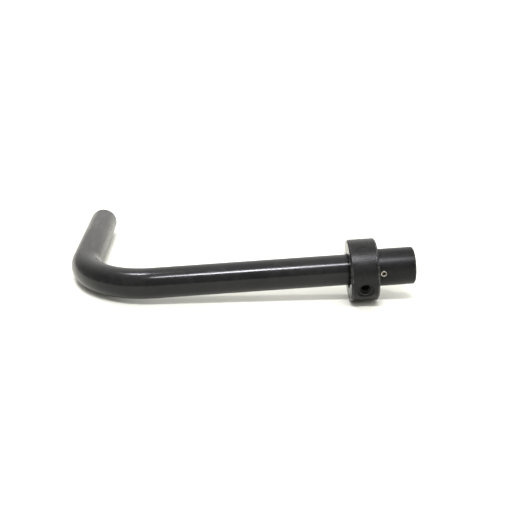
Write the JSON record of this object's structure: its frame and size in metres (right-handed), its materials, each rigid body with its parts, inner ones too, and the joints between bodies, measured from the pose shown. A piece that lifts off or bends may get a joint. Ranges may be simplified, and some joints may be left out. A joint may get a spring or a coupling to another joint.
{
  "type": "winch handle",
  "caption": "Bent round-bar hand crank with a pinned drive sleeve on its end and a set-screw stop collar, for turning a boat winch.",
  "frame": {"origin": "centre of the drive end's flat face, on the arm's axis", "axes": "+X out of the drive end along the arm; the bar's centreline lies in Z = 0 and the grip leg points along +Y; +Z is square to the L"},
  "size_m": [0.1809, 0.1262, 0.0317],
  "materials": {
    "bar_steel": "black oxide, oiled, semi-gloss, drawn bar",
    "sleeve_steel": "black oxide, satin, fine turned",
    "collar_steel": "black oxide, satin, slightly grainy, turned",
    "screw_steel": "black oxide, satin",
    "pin_steel": "bare spring steel, satin"
  },
  "bodies": {
    "handle": {"handle_bar": "bar_steel", "drive_sleeve": "sleeve_steel", "roll_pin": "pin_steel"},
    "collar": {"stop_collar": "collar_steel"},
    "screw": {"set_screw": "screw_steel"}
  },
  "joints": [
    {"name": "collar_slide", "type": "slide", "parent": "handle", "child": "collar", "axis": [1, 0, 0], "range_m": [-0.098, 0]},
    {"name": "set_screw_travel", "type": "slide", "parent": "collar", "child": "screw", "axis": [0, -0.9272, -0.3746], "range_m": [0, 0.00564]}
  ]
}
